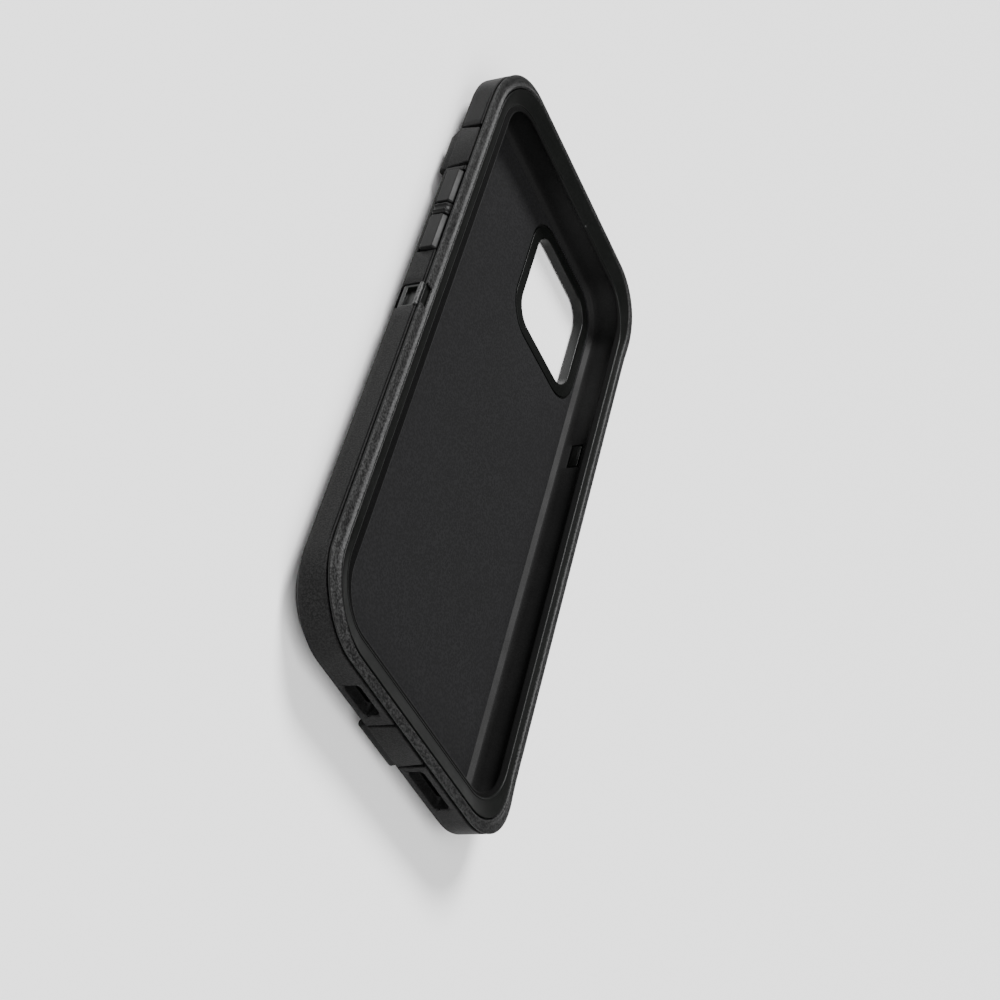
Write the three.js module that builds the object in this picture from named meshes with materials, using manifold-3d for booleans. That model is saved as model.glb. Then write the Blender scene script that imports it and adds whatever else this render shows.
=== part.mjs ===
// Rugged two-part phone case for a 6.7 inch phone, lying on its back.
// Millimetres. +X is the phone's right seen from the front, +Y its top, +Z out of the glass.
// The origin is under the middle of the case, on the surface that it lies on.
import * as THREE from 'three';
import Module from 'manifold-3d';
import { ParametricGeometry } from 'three/addons/geometries/ParametricGeometry.js';
import { mergeVertices } from 'three/addons/utils/BufferGeometryUtils.js';

const wasm = await Module();
wasm.setup();

// ---- The phone that the case holds
const PHONE_WIDTH = 77.8;
const PHONE_LENGTH = 160.9;
const PHONE_THICKNESS = 7.8;
const PHONE_CORNER = 12.4;

// ---- Layers, from the outside in
const SLEEVE_FLOOR = 1.0;
const SHELL_FLOOR = 1.0;
const PAD_THICKNESS = 0.4;
const SLEEVE_WALL = 3.15;
const SKIRT_WALL = 1.0;
const SHELL_WALL = 1.1;
const FIT = 0.25;                 // clearance between two layers
const OUTER_CORNER = 16.5;        // radius of the case's corners in plan

// ---- Front rim: it runs low along the sides and rises towards both ends
const END_RISE = 1.35;            // how much higher the rim is at the two ends
const RISE_LENGTH = 21;           // length over which it rises, before each end
const CREST_HEIGHT = 0.45;        // crest above the glass, along the sides
const SHOULDER_HEIGHT = 0.1;      // outer shoulder of the rim above the glass
const SEAM_DEPTH = 1.2;           // sleeve's top edge below the glass, along the sides
const SEAM_WIDTH = 0.85;          // open seam between sleeve and rim
const FLANGE_THICKNESS = 0.4;     // hard flange that shows in the seam
const FLANGE_INSET = 0.4;         // flange's edge behind the wall's face
const LIP_OVER_SIDE = 2.2;        // how far the frame laps over the glass at the sides
const LIP_OVER_END = 1.95;        // and at the ends
const LIP_GAP = 0.05;             // lip above the glass
const LIP_EDGE = 0.15;            // thickness of the lip's free edge
const BAND_HEIGHT = 0.35;         // inner edge of the sloping band above the glass
const BAND_SIDE = [0.4, 2.5];     // sloping band: from and to, out from the phone's side
const BAND_END = [-0.85, 3.55];   // and out from its end
const CREST_SIDE = 3.2;
const CREST_END = 4.45;
const SHOULDER_INSET = 0.5;
const SKIRT_DEPTH = 5.45;         // skirt's lower edge below the glass
const LEDGE_DEPTH = 0.6;          // underside of the frame outside the phone, below the glass
const LEDGE_INSET = 0.3;

// ---- Back edge: the walls end in a wide chamfer with rounded corners
const CHAMFER_WIDTH = 6.9;
const CHAMFER_HEIGHT = 5.0;
const CHAMFER_STEPS = [[1, 0], [0.77, 0.1], [0.12, 0.75], [0.04, 0.86], [0, 1]];
const CHAMFER_SKIN = 1.2;         // soft wall left behind the chamfer

// ---- Switch cover, volume keys and power key: middle and length along the side wall
const MUTE_MIDDLE = 50.4;
const MUTE_LENGTH = 14.4;
const VOLUME_UP_MIDDLE = 35.4;
const VOLUME_DOWN_MIDDLE = 20.0;
const VOLUME_KEY_LENGTH = 11.2;
const POWER_MIDDLE = 27.7;
const POWER_KEY_LENGTH = 17;
const KEY_HEIGHT = 4.2;
const FLANGE_GAP = 0.3;           // keys and latches below the frame's flange
const KEY_PROUD = 0.75;           // how far a key stands out of the wall
const KEY_CHAMFER = 0.45;
const KEY_CORNER = 0.6;
const KEY_GAP = 0.35;             // gap around a key
const KEY_TRAVEL = 0.5;
const TALL_KEY_PROUD = 1.0;       // ribbed block and power key stand out a little more
const BRIDGE_GAP = 0.2;
const PLUNGER_HEIGHT = 2.6;
const PLUNGER_LENGTH = 7;
const PLUNGER_START = 0.3;        // plunger's inner end, out from the phone
const SWITCH_HOLE_LENGTH = 9;
const SWITCH_HOLE_HEIGHT = 4.6;

// ---- Bottom end: charging port, its cover, and the two sound slots
const PORT_COVER_WIDTH = 14.4;
const PORT_PLUG_WIDTH = 8.4;
const PORT_PLUG_HEIGHT = 2.6;
const PORT_PLUG_START = 0.4;      // plug's inner end, out from the phone
const PORT_HOLE_WIDTH = 11.5;
const SLOT_HEIGHT = 3.7;
const SLOT_DEPTH = 3.2;           // slots' middle below the glass
const SLOT_CORNER = 1.1;
const SLOT_RELIEF = 0.4;          // inner walls' openings around a slot
const SLOTS = [
  { middle: -16.0, width: 10.2 },
  { middle: 16.3, width: 14.2 },
];

// ---- Hinged covers
const COVER_GAP = 0.4;            // slit at each side of a cover
const COVER_RELIEF = 0.3;         // cover's inner face off the skirt
const COVER_DROP = 0.1;           // cover's top edge below the sleeve's
const HINGE_INSET = 1.35;         // hinge line in from the wall's face
const HINGE_HEIGHT = 3.15;
const HINGE_BEAD = 1.05;          // radius of the thick bead along the hinge

// ---- Side latches
const LATCH_LENGTH = 7.0;
const LATCH_WINDOW_LENGTH = 5.4;
const LATCH_WINDOW_HEIGHT = 2.1;
const LATCH_HEIGHT = 4.8;
const LATCH_BAR = 1.35;           // height of its top bar
const LATCH_THICKNESS = 1.5;
const LATCH_RECESS = 0.35;        // latch face behind the sleeve's face
const RIDGE_PROUD = 0.5;
const LUG_LENGTH = 5.0;
const RECESS_DROP = 0.95;         // recess's floor below the latch
const NOTCH_LENGTH = 6.0;
const NOTCH_START = 3.9;          // notch in the rim, out from the phone
const TOOTH_LENGTH = 4.6;
const TOOTH_HEIGHT = 1.2;

// ---- Camera window in the back, near the top corner, and earpiece recess
const CAMERA_WINDOW = 34;
const CAMERA_MARGIN = 4.5;        // window's edges in from the phone's edges
const CAMERA_CORNER = 8;
const GUARD_WALL = 1.6;
const GUARD_FLANGE = 1.6;
const GUARD_FLANGE_THICKNESS = 0.4;
const GUARD_LIFT = 0.2;           // guard's face above the resting surface
const EARPIECE_WIDTH = 16;
const EARPIECE_DEPTH = 1.6;
const EARPIECE_WEB = 0.2;         // what is left of the lip under the recess, above the glass
const PAD_MARGIN = 2.0;

// ---- Resolution of round stretches
const CORNER_STEPS = 9;
const RISE_STEPS = 4;
const REACH = 60;                 // beyond every face

// ---- Heights above the resting surface, and distances out from the phone's faces
const SHELL_BASE = SLEEVE_FLOOR + FIT;
const PAD_BASE = SHELL_BASE + SHELL_FLOOR + FIT;
const PHONE_BASE = PAD_BASE + PAD_THICKNESS + FIT;
const GLASS = PHONE_BASE + PHONE_THICKNESS;
const PHONE_MIDDLE = PHONE_BASE + PHONE_THICKNESS / 2;
const SHELL_IN = FIT;
const SHELL_OUT = SHELL_IN + SHELL_WALL;
const SKIRT_IN = SHELL_OUT + FIT;
const SKIRT_OUT = SKIRT_IN + SKIRT_WALL;
const SLEEVE_IN = SKIRT_OUT + FIT;
const WALL_OUT = SLEEVE_IN + SLEEVE_WALL;
const KEY_IN = SLEEVE_IN + KEY_TRAVEL;
const SIDE = PHONE_WIDTH / 2;
const END = PHONE_LENGTH / 2;
const SLEEVE_TOP = GLASS - SEAM_DEPTH;
const RIM_BOTTOM = SLEEVE_TOP + SEAM_WIDTH;
const FLANGE_TOP = RIM_BOTTOM - FIT;
const FLANGE_BOTTOM = FLANGE_TOP - FLANGE_THICKNESS;
const SHELL_TOP = GLASS - LEDGE_DEPTH - FIT;
const SKIRT_BOTTOM = GLASS - SKIRT_DEPTH;
const KEY_MIDDLE = FLANGE_BOTTOM - FLANGE_GAP - KEY_HEIGHT / 2;
const LATCH_TOP = FLANGE_BOTTOM - FLANGE_GAP;
const LATCH_BOTTOM = LATCH_TOP - LATCH_HEIGHT;
const LATCH_OUT = WALL_OUT - LATCH_RECESS;
const LATCH_IN = LATCH_OUT - LATCH_THICKNESS;
const CAMERA_X = SIDE - CAMERA_MARGIN - CAMERA_WINDOW / 2;
const CAMERA_Y = END - CAMERA_MARGIN - CAMERA_WINDOW / 2;

// ------------------------------------------------------------ making solids

/** Closed geometry to a solid: vertices merged, flat triangles dropped, faces outwards. */
function solidOf(geometry) {
  const bare = geometry.clone();
  bare.deleteAttribute('normal');
  bare.deleteAttribute('uv');
  const merged = mergeVertices(bare, 1e-4);
  const place = merged.getAttribute('position');
  const corners = [0, 1, 2].map(() => new THREE.Vector3());
  const kept = [];
  let volume = 0;
  for (let i = 0; i < merged.index.count; i += 3) {
    const ids = [0, 1, 2].map((k) => merged.index.getX(i + k));
    if (new Set(ids).size === 3) {
      ids.forEach((id, k) => corners[k].fromBufferAttribute(place, id));
      volume += corners[0].dot(corners[1].clone().cross(corners[2]));
      kept.push(...ids);
    }
  }
  if (volume < 0) kept.reverse();
  return new wasm.Manifold(new wasm.Mesh({
    numProp: 3,
    vertProperties: new Float32Array(place.array),
    triVerts: new Uint32Array(kept),
  }));
}

/** Solid to a named three.js mesh. */
function meshOf(name, solid, material) {
  const mesh = solid.getMesh();
  const geometry = new THREE.BufferGeometry();
  geometry.setAttribute('position', new THREE.BufferAttribute(mesh.vertProperties, 3));
  geometry.setIndex(new THREE.BufferAttribute(mesh.triVerts, 1));
  geometry.computeVertexNormals();
  const made = new THREE.Mesh(geometry, material);
  made.name = name;
  return made;
}

const joined = (...solids) => solids.reduce((sum, one) => sum.add(one));
const cutBy = (solid, ...cuts) => cuts.reduce((rest, cut) => rest.subtract(cut), solid);
const mirrored = (solid) => solid.mirror([1, 0, 0]);

/** Box between two opposite corners. */
function box(low, high) {
  const size = high.map((top, k) => top - low[k]);
  const geometry = new THREE.BoxGeometry(...size);
  geometry.translate(...low.map((bottom, k) => bottom + size[k] / 2));
  return solidOf(geometry);
}

/** Rounded rectangle about the origin. */
function roundedShape(halfX, halfY, corner) {
  const shape = new THREE.Shape();
  shape.moveTo(halfX, corner - halfY);
  shape.absarc(halfX - corner, halfY - corner, corner, 0, Math.PI / 2, false);
  shape.absarc(corner - halfX, halfY - corner, corner, Math.PI / 2, Math.PI, false);
  shape.absarc(corner - halfX, corner - halfY, corner, Math.PI, Math.PI * 1.5, false);
  shape.absarc(halfX - corner, corner - halfY, corner, Math.PI * 1.5, Math.PI * 2, false);
  return shape;
}

/** Upright rounded prism about a point in plan. */
function prism(x, y, halfX, halfY, corner, bottom, top) {
  const geometry = new THREE.ExtrudeGeometry(roundedShape(halfX, halfY, corner), {
    depth: top - bottom, bevelEnabled: false, curveSegments: CORNER_STEPS,
  });
  geometry.translate(x, y, bottom);
  return solidOf(geometry);
}

/** Turns a geometry drawn as (along the wall, up, out) to stand on the +X side. */
function ontoSide(geometry) {
  const axes = new THREE.Matrix4().makeBasis(
    new THREE.Vector3(0, 1, 0), new THREE.Vector3(0, 0, 1), new THREE.Vector3(1, 0, 0),
  );
  geometry.applyMatrix4(axes);
  return geometry;
}

/** Rounded bar that points out of the +X side, with its outer rim chamfered. */
function bar(middle, height, length, thickness, corner, from, to, chamfer = 0) {
  const geometry = new THREE.ExtrudeGeometry(
    roundedShape(length / 2 - chamfer, thickness / 2 - chamfer, Math.max(corner - chamfer, 0.1)),
    {
      depth: to - from - 2 * chamfer,
      bevelEnabled: chamfer > 0,
      bevelSize: chamfer,
      bevelThickness: chamfer,
      bevelSegments: 1,
      curveSegments: 3,
    },
  );
  geometry.translate(middle, height, from + chamfer);
  return solidOf(ontoSide(geometry));
}

/** Outline of (out, up) points in the plane across the +X wall, swept along Y. */
function sweep(points, from, to) {
  const shape = new THREE.Shape(points.map(([out, up]) => new THREE.Vector2(out, up)));
  const geometry = new THREE.ExtrudeGeometry(shape, { depth: to - from, bevelEnabled: false });
  geometry.rotateX(Math.PI / 2);
  geometry.translate(0, to, 0);
  return solidOf(geometry);
}

/** Round rod along Y. */
function rod(out, up, radius, from, to) {
  const geometry = new THREE.CylinderGeometry(radius, radius, to - from, 14);
  geometry.translate(out, (from + to) / 2, up);
  return solidOf(geometry);
}

/** Takes what was made for the +X side to the bottom end. */
const ontoBottom = (solid) => solid.rotate([0, 0, -90]);

/** Points around a rounded rectangle; the rising stretch of each side has points of its own. */
function outline(halfX, halfY, corner) {
  const riseStart = halfY - Math.max(RISE_LENGTH, corner + 2);
  const points = [];
  for (let quarter = 0; quarter < 4; quarter += 1) {
    const signX = [1, -1, -1, 1][quarter];
    const signY = [1, 1, -1, -1][quarter];
    const side = [];
    for (let k = 0; k < RISE_STEPS; k += 1) {
      side.push([
        signX * halfX,
        signY * THREE.MathUtils.lerp(riseStart, halfY - corner, k / RISE_STEPS),
      ]);
    }
    const arc = [];
    for (let k = 0; k <= CORNER_STEPS; k += 1) {
      const turn = (quarter + k / CORNER_STEPS) * Math.PI / 2;
      arc.push([
        signX * (halfX - corner) + corner * Math.cos(turn),
        signY * (halfY - corner) + corner * Math.sin(turn),
      ]);
    }
    if (quarter % 2 === 0) points.push(...side, ...arc);
    else points.push(...arc, ...side.reverse());
  }
  return points;
}

/** Rise of the rim at each point of the outline: 0 along the sides, END_RISE at the ends. */
const RISES = outline(SIDE + WALL_OUT, END + WALL_OUT, OUTER_CORNER).map(([, y]) => {
  const share = (Math.abs(y) - END - WALL_OUT + RISE_LENGTH) / RISE_LENGTH;
  return END_RISE * THREE.MathUtils.smoothstep(share, 0, 1);
});

/**
 * Body through rings. A ring is { out, end, corner, z, lift }: out and end are its distances
 * beyond the phone's side and end faces, and lift is the share of the rim's rise it follows.
 * A hoop's last ring joins its first; otherwise the first and last rings are capped.
 */
function ringBody(rings, hoop = false) {
  const loops = rings.map(({ out, end = out, corner = PHONE_CORNER + out, z, lift = 0 }) => (
    outline(SIDE + out, END + end, corner)
      .map(([x, y], k) => new THREE.Vector3(x, y, z + lift * RISES[k]))
  ));
  if (!hoop) {
    const around = loops[0].length;
    const cap = (loop) => new Array(around).fill(new THREE.Vector3(0, 0, loop[0].z));
    loops.unshift(cap(loops[0]));
    loops.push(cap(loops.at(-1)));
  }
  const around = loops[0].length;
  const across = hoop ? loops.length : loops.length - 1;
  const surface = (u, v, target) => {
    target.copy(loops[Math.round(v * across) % loops.length][Math.round(u * around) % around]);
  };
  return solidOf(new ParametricGeometry(surface, around, across));
}

// ------------------------------------------------------------ shared cuts

/** Height of the chamfer's straight stretch at a distance out, lifted square to it. */
function chamferHeight(out, lifted) {
  const [low, high] = [CHAMFER_STEPS[1], CHAMFER_STEPS[2]];
  const slope = ((high[1] - low[1]) * CHAMFER_HEIGHT) / ((low[0] - high[0]) * CHAMFER_WIDTH);
  const inward = WALL_OUT - high[0] * CHAMFER_WIDTH - out;
  return high[1] * CHAMFER_HEIGHT - inward * slope + lifted * Math.hypot(1, slope);
}

/** Distance out at which that lifted line reaches a height. */
function chamferOut(height, lifted) {
  const here = chamferHeight(0, lifted);
  const slope = chamferHeight(1, lifted) - here;
  return (height - here) / slope;
}

/** Tray-shaped body: floor, sloping foot behind the chamfer, upright wall. */
function tray(out, lifted, floor, top, lift = 0) {
  const foot = chamferOut(floor, lifted);
  return ringBody([
    { out: foot, z: floor },
    { out, z: chamferHeight(out, lifted) },
    { out, z: top, lift },
  ]);
}

const cameraWindow = () => prism(
  CAMERA_X, CAMERA_Y, CAMERA_WINDOW / 2, CAMERA_WINDOW / 2, CAMERA_CORNER, -REACH, PHONE_MIDDLE,
);

/** Sound slots, grown by a margin, from inside the phone's space to the outside. */
const soundSlots = (margin) => SLOTS.map(({ middle, width }) => ontoBottom(bar(
  middle, GLASS - SLOT_DEPTH, width + 2 * margin, SLOT_HEIGHT + 2 * margin,
  SLOT_CORNER + margin, END - 1, END + REACH,
)));

/** Way of the port's plug through the inner walls, open below the frame's ledge. */
const portWay = () => ontoBottom(box(
  [END - 1, -PORT_HOLE_WIDTH / 2, PHONE_MIDDLE - PORT_PLUG_HEIGHT / 2 - COVER_GAP],
  [END + SLEEVE_IN, PORT_HOLE_WIDTH / 2, GLASS - LEDGE_DEPTH],
));

/** Hole for a key's plunger through the inner walls on the +X side. */
const plungerHole = (middle) => bar(
  middle, PHONE_MIDDLE, PLUNGER_LENGTH + 2 * KEY_GAP, PLUNGER_HEIGHT + 2 * KEY_GAP,
  KEY_CORNER, SIDE - 1, SIDE + SLEEVE_IN,
);

const switchHole = () => mirrored(bar(
  MUTE_MIDDLE, PHONE_MIDDLE, SWITCH_HOLE_LENGTH, SWITCH_HOLE_HEIGHT, KEY_CORNER,
  SIDE - 1, SIDE + SLEEVE_IN,
));

const innerHoles = () => [
  mirrored(plungerHole(VOLUME_UP_MIDDLE)),
  mirrored(plungerHole(VOLUME_DOWN_MIDDLE)),
  plungerHole(POWER_MIDDLE),
  switchHole(),
  portWay(),
  ...soundSlots(SLOT_RELIEF),
];

// ------------------------------------------------------------ soft outer jacket

/** Slot of a key, or of the whole volume block, in the sleeve's +X wall. */
const keySlot = (from, to) => box(
  [SIDE + SLEEVE_IN - 1, from - KEY_GAP, KEY_MIDDLE - KEY_HEIGHT / 2 - KEY_GAP],
  [SIDE + REACH, to + KEY_GAP, KEY_MIDDLE + KEY_HEIGHT / 2 + KEY_GAP],
);

/** Opening of a hinged cover in a wall on the +X side, whose phone face is at a distance. */
function coverOpening(face, middle, length) {
  const hinge = face + WALL_OUT - HINGE_INSET;
  const from = middle - length / 2 - COVER_GAP;
  const to = middle + length / 2 + COVER_GAP;
  return joined(
    box([face + SLEEVE_IN - 1, from, HINGE_HEIGHT], [face + REACH, to, REACH]),
    rod(hinge, HINGE_HEIGHT, HINGE_BEAD + FIT, from, to),
  );
}

const latchRecess = () => box(
  [SIDE + SLEEVE_IN - 1, -LATCH_LENGTH / 2 - FIT, LATCH_BOTTOM - RECESS_DROP],
  [SIDE + REACH, LATCH_LENGTH / 2 + FIT, REACH],
);

function outerSleeve() {
  const outside = ringBody([
    ...CHAMFER_STEPS.map(([width, height]) => ({
      out: WALL_OUT - width * CHAMFER_WIDTH,
      corner: OUTER_CORNER - width * CHAMFER_WIDTH,
      z: height * CHAMFER_HEIGHT,
    })),
    { out: WALL_OUT, corner: OUTER_CORNER, z: SLEEVE_TOP, lift: 1 },
    { out: SLEEVE_IN - FIT, z: SLEEVE_TOP, lift: 1 },
  ]);
  const volumeFrom = VOLUME_DOWN_MIDDLE - VOLUME_KEY_LENGTH / 2;
  const volumeTo = VOLUME_UP_MIDDLE + VOLUME_KEY_LENGTH / 2;
  return cutBy(
    outside,
    tray(SLEEVE_IN, CHAMFER_SKIN, SLEEVE_FLOOR, REACH),
    cameraWindow(),
    mirrored(keySlot(volumeFrom, volumeTo)),
    keySlot(POWER_MIDDLE - POWER_KEY_LENGTH / 2, POWER_MIDDLE + POWER_KEY_LENGTH / 2),
    mirrored(coverOpening(SIDE, MUTE_MIDDLE, MUTE_LENGTH)),
    ontoBottom(coverOpening(END, 0, PORT_COVER_WIDTH)),
    latchRecess(),
    mirrored(latchRecess()),
    ...soundSlots(0),
  );
}

// ------------------------------------------------------------ hard inner tray

/** Lug on the tray's wall that carries a latch, on the +X side. */
const latchLug = () => box(
  [SIDE + SHELL_OUT - SHELL_WALL / 2, -LUG_LENGTH / 2, LATCH_BOTTOM - FIT],
  [SIDE + LATCH_IN - FIT, LUG_LENGTH / 2, SKIRT_BOTTOM - FIT],
);

function backShell() {
  const walls = cutBy(
    tray(SHELL_OUT, CHAMFER_SKIN + FIT, SHELL_BASE, SHELL_TOP),
    tray(SHELL_IN, CHAMFER_SKIN + FIT + SHELL_WALL, SHELL_BASE + SHELL_FLOOR, REACH),
  );
  return cutBy(
    joined(walls, latchLug(), mirrored(latchLug())),
    cameraWindow(),
    ...innerHoles(),
  );
}

/** Foam liner between tray and phone. */
function backPad() {
  const sheet = ringBody([
    { out: -PAD_MARGIN, z: PAD_BASE },
    { out: -PAD_MARGIN, z: PAD_BASE + PAD_THICKNESS },
  ]);
  const half = CAMERA_WINDOW / 2 + GUARD_FLANGE + FIT;
  return cutBy(sheet, prism(
    CAMERA_X, CAMERA_Y, half, half, CAMERA_CORNER + GUARD_FLANGE, -REACH, REACH,
  ));
}

/** Hard ring around the camera window, held by a flange on top of the tray's floor. */
function cameraGuard() {
  const ring = (half, corner, bottom, top) => (
    prism(CAMERA_X, CAMERA_Y, half, half, corner, bottom, top)
  );
  const outer = CAMERA_WINDOW / 2 - FIT;
  const top = PAD_BASE + GUARD_FLANGE_THICKNESS;
  return cutBy(
    joined(
      ring(outer, CAMERA_CORNER - FIT, GUARD_LIFT, top),
      ring(outer + GUARD_FLANGE, CAMERA_CORNER + GUARD_FLANGE - FIT, PAD_BASE, top),
    ),
    ring(outer - GUARD_WALL, CAMERA_CORNER - GUARD_WALL, -REACH, REACH),
  );
}

// ------------------------------------------------------------ front frame and its soft rim

function frontFrame() {
  const bezel = ringBody([
    { out: -LIP_OVER_SIDE, end: -LIP_OVER_END, z: GLASS + LIP_GAP },
    { out: -LIP_OVER_SIDE, end: -LIP_OVER_END, z: GLASS + LIP_GAP + LIP_EDGE },
    { out: BAND_SIDE[0], end: BAND_END[0], z: GLASS + BAND_HEIGHT },
    { out: BAND_SIDE[1], end: BAND_END[1], z: GLASS + BAND_HEIGHT, lift: 1 },
    { out: BAND_SIDE[1], end: BAND_END[1], z: FLANGE_TOP, lift: 1 },
    { out: WALL_OUT - FLANGE_INSET, corner: OUTER_CORNER - FLANGE_INSET, z: FLANGE_TOP, lift: 1 },
    {
      out: WALL_OUT - FLANGE_INSET, corner: OUTER_CORNER - FLANGE_INSET, z: FLANGE_BOTTOM, lift: 1,
    },
    { out: SKIRT_OUT, z: FLANGE_BOTTOM, lift: 1 },
    { out: SKIRT_OUT, z: SKIRT_BOTTOM },
    { out: SKIRT_IN, z: SKIRT_BOTTOM },
    { out: SKIRT_IN, z: GLASS - LEDGE_DEPTH },
    { out: LEDGE_INSET, z: GLASS - LEDGE_DEPTH },
    { out: LEDGE_INSET, z: GLASS + LIP_GAP },
  ], true);
  const windowMiddle = LATCH_TOP - LATCH_BAR - LATCH_WINDOW_HEIGHT / 2;
  const tooth = box(
    [SIDE + SKIRT_OUT - SKIRT_WALL / 2, -TOOTH_LENGTH / 2, windowMiddle - TOOTH_HEIGHT / 2],
    [SIDE + LATCH_IN - FIT, TOOTH_LENGTH / 2, windowMiddle + TOOTH_HEIGHT / 2],
  );
  const earpiece = box(
    [-EARPIECE_WIDTH / 2, END + BAND_END[0], GLASS + EARPIECE_WEB],
    [EARPIECE_WIDTH / 2, END + BAND_END[0] + EARPIECE_DEPTH, REACH],
  );
  return cutBy(joined(bezel, tooth, mirrored(tooth)), earpiece, ...innerHoles());
}

const rimNotch = () => box(
  [SIDE + NOTCH_START, -NOTCH_LENGTH / 2, 0], [SIDE + REACH, NOTCH_LENGTH / 2, REACH],
);

function rimBumper() {
  const inner = { out: BAND_SIDE[1] + FIT, end: BAND_END[1] + FIT };
  const rim = ringBody([
    { ...inner, z: RIM_BOTTOM, lift: 1 },
    { ...inner, z: GLASS + BAND_HEIGHT, lift: 1 },
    { out: CREST_SIDE, end: CREST_END, z: GLASS + CREST_HEIGHT, lift: 1 },
    {
      out: WALL_OUT - SHOULDER_INSET,
      corner: OUTER_CORNER - SHOULDER_INSET,
      z: GLASS + SHOULDER_HEIGHT,
      lift: 1,
    },
    { out: WALL_OUT, corner: OUTER_CORNER, z: (GLASS + RIM_BOTTOM) / 2, lift: 1 },
    { out: WALL_OUT, corner: OUTER_CORNER, z: RIM_BOTTOM, lift: 1 },
  ], true);
  return cutBy(rim, rimNotch(), mirrored(rimNotch()));
}

// ------------------------------------------------------------ moving pieces

/** Windowed snap lever on the +X side. Its foot faces the tray's lug. */
function sideLatch() {
  const half = LATCH_LENGTH / 2;
  const lever = box([SIDE + LATCH_IN, -half, LATCH_BOTTOM], [SIDE + LATCH_OUT, half, LATCH_TOP]);
  const ridge = rod(
    SIDE + LATCH_OUT - LATCH_BAR / 2 + RIDGE_PROUD, LATCH_TOP - LATCH_BAR / 2,
    LATCH_BAR / 2, -half, half,
  );
  const window = box(
    [SIDE, -LATCH_WINDOW_LENGTH / 2, LATCH_TOP - LATCH_BAR - LATCH_WINDOW_HEIGHT],
    [SIDE + REACH, LATCH_WINDOW_LENGTH / 2, LATCH_TOP - LATCH_BAR],
  );
  return cutBy(joined(lever, ridge), window);
}

/** Hinged cover on the +X side of a phone face: plate, rounded foot and hinge bead. */
function hingedCover(face, middle, length, top) {
  const outer = face + WALL_OUT;
  const inner = face + SLEEVE_IN + COVER_RELIEF;
  const edge = CHAMFER_STEPS.slice(2).map(([width, height]) => (
    [outer - width * CHAMFER_WIDTH, height * CHAMFER_HEIGHT]
  ));
  const from = middle - length / 2;
  const to = middle + length / 2;
  const hinge = outer - HINGE_INSET;
  const foot = [
    [inner, HINGE_HEIGHT + HINGE_BEAD], [hinge - HINGE_BEAD / 2, HINGE_HEIGHT + FIT],
  ];
  const up = top - COVER_DROP;
  const plate = sweep([...foot, ...edge, [outer, up], [inner, up]], from, to);
  return joined(plate, rod(hinge, HINGE_HEIGHT, HINGE_BEAD, from, to));
}

function portCover() {
  const cover = hingedCover(END, 0, PORT_COVER_WIDTH, SLEEVE_TOP + END_RISE);
  const plug = bar(
    0, PHONE_MIDDLE, PORT_PLUG_WIDTH, PORT_PLUG_HEIGHT, PORT_PLUG_HEIGHT / 2,
    END + PORT_PLUG_START, END + SLEEVE_IN + SLEEVE_WALL / 2,
  );
  return ontoBottom(joined(cover, plug));
}

/** Key cap on the +X side. */
const key = (middle, length, proud) => bar(
  middle, KEY_MIDDLE, length, KEY_HEIGHT, KEY_CORNER,
  SIDE + KEY_IN, SIDE + WALL_OUT + proud, KEY_CHAMFER,
);

/** Hard plunger behind a key, on the +X side. */
const plunger = (middle) => box(
  [SIDE + PLUNGER_START, middle - PLUNGER_LENGTH / 2, PHONE_MIDDLE - PLUNGER_HEIGHT / 2],
  [SIDE + KEY_IN - FIT, middle + PLUNGER_LENGTH / 2, PHONE_MIDDLE + PLUNGER_HEIGHT / 2],
);

/** Ribbed block between the two volume keys: it fills what the keys leave of their slot. */
function volumeBridge() {
  const from = VOLUME_DOWN_MIDDLE + VOLUME_KEY_LENGTH / 2 + BRIDGE_GAP;
  const to = VOLUME_UP_MIDDLE - VOLUME_KEY_LENGTH / 2 - BRIDGE_GAP;
  return mirrored(key((from + to) / 2, to - from, TALL_KEY_PROUD));
}

// ------------------------------------------------------------ materials and assembly

const softBlack = new THREE.MeshStandardMaterial({ color: 0x333333, roughness: 0.75 });
const softGrained = new THREE.MeshStandardMaterial({ color: 0x3a3a3a, roughness: 0.85 });
const hardBlack = new THREE.MeshStandardMaterial({ color: 0x212221, roughness: 0.45 });
const foamGrey = new THREE.MeshStandardMaterial({ color: 0x262626, roughness: 0.95 });

const phoneCase = new THREE.Group();
phoneCase.add(
  meshOf('outer_sleeve', outerSleeve(), softBlack),
  meshOf('back_shell', backShell(), hardBlack),
  meshOf('back_pad', backPad(), foamGrey),
  meshOf('camera_guard', cameraGuard(), hardBlack),
  meshOf('front_frame', frontFrame(), hardBlack),
  meshOf('rim_bumper', rimBumper(), softGrained),
  meshOf('side_latch_right', sideLatch(), hardBlack),
  meshOf('side_latch_left', mirrored(sideLatch()), hardBlack),
  meshOf(
    'mute_switch_cover',
    mirrored(hingedCover(SIDE, MUTE_MIDDLE, MUTE_LENGTH, SLEEVE_TOP)),
    softBlack,
  ),
  meshOf('port_cover', portCover(), softBlack),
  meshOf(
    'volume_up_button', mirrored(key(VOLUME_UP_MIDDLE, VOLUME_KEY_LENGTH, KEY_PROUD)), softBlack,
  ),
  meshOf(
    'volume_down_button',
    mirrored(key(VOLUME_DOWN_MIDDLE, VOLUME_KEY_LENGTH, KEY_PROUD)),
    softBlack,
  ),
  meshOf('volume_bridge', volumeBridge(), softBlack),
  meshOf('power_button', key(POWER_MIDDLE, POWER_KEY_LENGTH, TALL_KEY_PROUD), softBlack),
  meshOf('volume_up_plunger', mirrored(plunger(VOLUME_UP_MIDDLE)), hardBlack),
  meshOf('volume_down_plunger', mirrored(plunger(VOLUME_DOWN_MIDDLE)), hardBlack),
  meshOf('power_plunger', plunger(POWER_MIDDLE), hardBlack),
);

export default phoneCase;
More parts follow.
